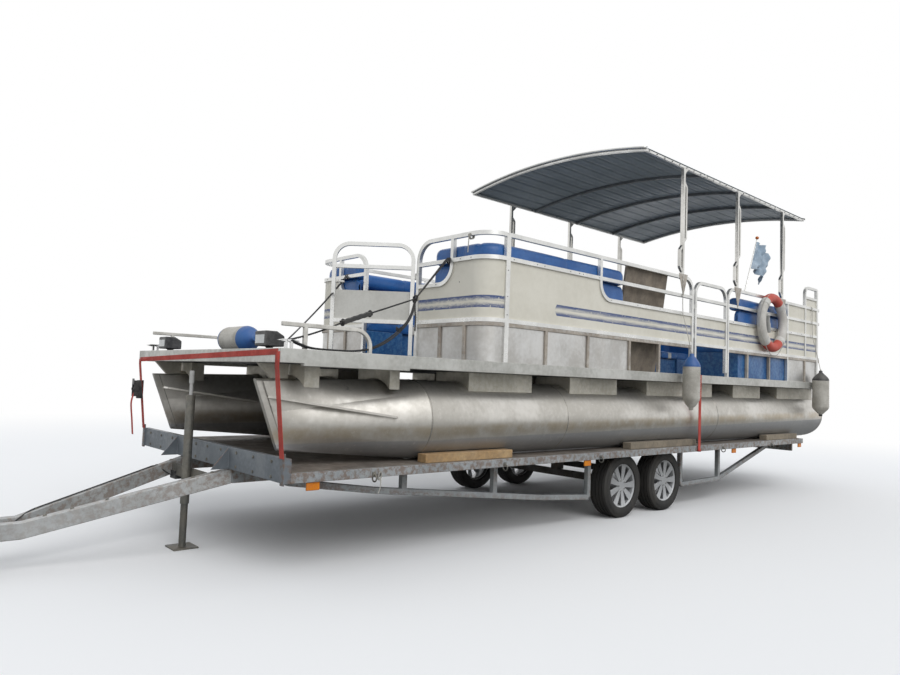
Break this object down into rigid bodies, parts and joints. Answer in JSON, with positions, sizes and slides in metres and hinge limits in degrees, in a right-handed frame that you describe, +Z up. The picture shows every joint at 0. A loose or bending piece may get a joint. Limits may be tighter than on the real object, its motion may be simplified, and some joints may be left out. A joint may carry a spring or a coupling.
{
  "type": "pontoon boat on a trailer",
  "caption": "Pontoon boat with fenced deck, blue lounges, arched canopy and tilted outboard, strapped down on a tandem axle flatbed trailer.",
  "frame": {"origin": "centre of the bounding box at ground level", "axes": "+X to port, +Y aft, +Z up"},
  "size_m": [2.85, 11.2152, 3.633],
  "materials": {
    "pontoon_tube": "dull bare sheet with water stains",
    "deck_frame": "bare extrusion, weathered",
    "deck_covering": "worn marine covering",
    "bright_tube": "bright anodised square tube",
    "beige_channel": "beige paint",
    "cream_panel": "cream enamel with blue bands",
    "mill_panel": "mill finish sheet",
    "roof_skin": "dark grey-blue profiled sheet",
    "roof_tube": "bright tube",
    "white_tube": "white powder coat",
    "black_plastic": "moulded black plastic",
    "chrome_fitting": "polished",
    "blue_base": "blue moulded locker",
    "blue_vinyl": "soft blue vinyl over foam",
    "white_moulding": "moulded console",
    "ring_shell": "white shell with faded red quarters",
    "fender_vinyl": "white inflated vinyl with dark ends",
    "galvanised_steel": "hot dip galvanised, weathered",
    "zinc_leg": "zinc plated",
    "bed_boards": "weathered planks",
    "lamp_lens": "amber marker lens",
    "dark_board": "dark lamp board",
    "tyre_rubber": "worn rubber",
    "silver_rim": "silver wheel cover",
    "red_webbing": "woven webbing",
    "table_laminate": "brown-grey fibrous board",
    "dark_casting": "dark painted casting",
    "black_cowl": "gloss moulded cowl",
    "propeller_metal": "black painted blades"
  },
  "bodies": {
    "boat_and_trailer": {"pontoon_port": "pontoon_tube", "pontoon_starboard": "pontoon_tube", "deck_rails": "deck_frame", "deck_cross_beams": "deck_frame", "deck_risers": "deck_frame", "deck_floor": "deck_covering", "fence_rails_bow": "bright_tube", "fence_rails_port": "bright_tube", "fence_rails_starboard": "bright_tube", "fence_rails_stern": "bright_tube", "fence_lower_frame": "beige_channel", "fence_panels": "cream_panel", "fence_lower_panels": "mill_panel", "roof_sheet": "roof_skin", "roof_frame": "roof_tube", "canopy_posts": "roof_tube", "deck_hoops": "white_tube", "docking_lamps": "black_plastic", "cleats": "chrome_fitting", "lounge_bases": "blue_base", "lounge_seats": "blue_vinyl", "lounge_backs": "blue_vinyl", "helm_seat": "blue_vinyl", "helm_console": "white_moulding", "life_ring": "ring_shell", "fenders": "fender_vinyl", "trailer_bed_frame": "galvanised_steel", "trailer_main_beams": "galvanised_steel", "drawbar_beams": "galvanised_steel", "headboard": "galvanised_steel", "truss_chords": "galvanised_steel", "axles": "galvanised_steel", "jack_tube": "galvanised_steel", "ball_coupling": "galvanised_steel", "trailer_bed_floor": "bed_boards", "bed_timbers": "bed_boards", "marker_lamps": "lamp_lens", "rear_light_board": "dark_board", "tie_down_straps": "red_webbing", "table_board": "table_laminate", "motor_bracket": "dark_casting"},
    "bow_gate": {"bow_gate_frame": "bright_tube", "bow_gate_panel": "cream_panel"},
    "side_gate": {"side_gate_frame": "bright_tube", "side_gate_panel": "cream_panel"},
    "helm_wheel": {"steering_wheel": "black_plastic"},
    "jack_leg": {"jack_leg": "zinc_leg"},
    "motor_swivel": {"motor_swivel": "dark_casting"},
    "motor": {"outboard_cowl": "black_cowl", "outboard_leg": "dark_casting"},
    "propeller": {"outboard_propeller": "propeller_metal"},
    "wheel_port_front": {"tyre_port_front": "tyre_rubber", "rim_port_front": "silver_rim"},
    "wheel_port_rear": {"tyre_port_rear": "tyre_rubber", "rim_port_rear": "silver_rim"},
    "wheel_starboard_front": {"tyre_starboard_front": "tyre_rubber", "rim_starboard_front": "silver_rim"},
    "wheel_starboard_rear": {"tyre_starboard_rear": "tyre_rubber", "rim_starboard_rear": "silver_rim"}
  },
  "joints": [
    {"name": "bow_gate_swing", "type": "hinge", "parent": "boat_and_trailer", "child": "bow_gate", "pos_m": [0.345, -2.0376, 1.9], "axis": [0, 0, 1], "range_deg": [-48, 42]},
    {"name": "side_gate_swing", "type": "hinge", "parent": "boat_and_trailer", "child": "side_gate", "pos_m": [1.195, 0.9504, 1.9], "axis": [0, 0, 1], "range_deg": [0, 90]},
    {"name": "jack_slide", "type": "slide", "parent": "boat_and_trailer", "child": "jack_leg", "axis": [0, 0, 1], "range_m": [-0.1, 0.28]},
    {"name": "motor_tilt", "type": "hinge", "parent": "boat_and_trailer", "child": "motor_swivel", "pos_m": [0, 4.6624, 1.308], "axis": [1, 0, 0], "range_deg": [-55, 10]},
    {"name": "motor_steer", "type": "hinge", "parent": "motor_swivel", "child": "motor", "pos_m": [0, 4.71402, 1.38172], "axis": [0, -0.8192, 0.5736], "range_deg": [-30, 30]},
    {"name": "propeller_spin", "type": "hinge", "parent": "motor", "child": "propeller", "pos_m": [0, 5.49694, 1.20097], "axis": [0, 0.5736, 0.8192], "continuous": true},
    {"name": "helm_turn", "type": "hinge", "parent": "boat_and_trailer", "child": "helm_wheel", "pos_m": [-0.895, 0.63678, 2.10336], "axis": [0, 0.9063, 0.4226], "range_deg": [-540, 540]},
    {"name": "wheel_port_front_spin", "type": "hinge", "parent": "boat_and_trailer", "child": "wheel_port_front", "pos_m": [0.973, -0.0376, 0.295], "axis": [1, 0, 0], "continuous": true},
    {"name": "wheel_port_rear_spin", "type": "hinge", "parent": "boat_and_trailer", "child": "wheel_port_rear", "pos_m": [0.973, 0.6924, 0.295], "axis": [1, 0, 0], "continuous": true},
    {"name": "wheel_starboard_front_spin", "type": "hinge", "parent": "boat_and_trailer", "child": "wheel_starboard_front", "pos_m": [-0.973, -0.0376, 0.295], "axis": [1, 0, 0], "continuous": true},
    {"name": "wheel_starboard_rear_spin", "type": "hinge", "parent": "boat_and_trailer", "child": "wheel_starboard_rear", "pos_m": [-0.973, 0.6924, 0.295], "axis": [1, 0, 0], "continuous": true}
  ],
  "couplings": [
    {"joint": "helm_turn", "follows": "motor_steer", "ratio": -18}
  ]
}
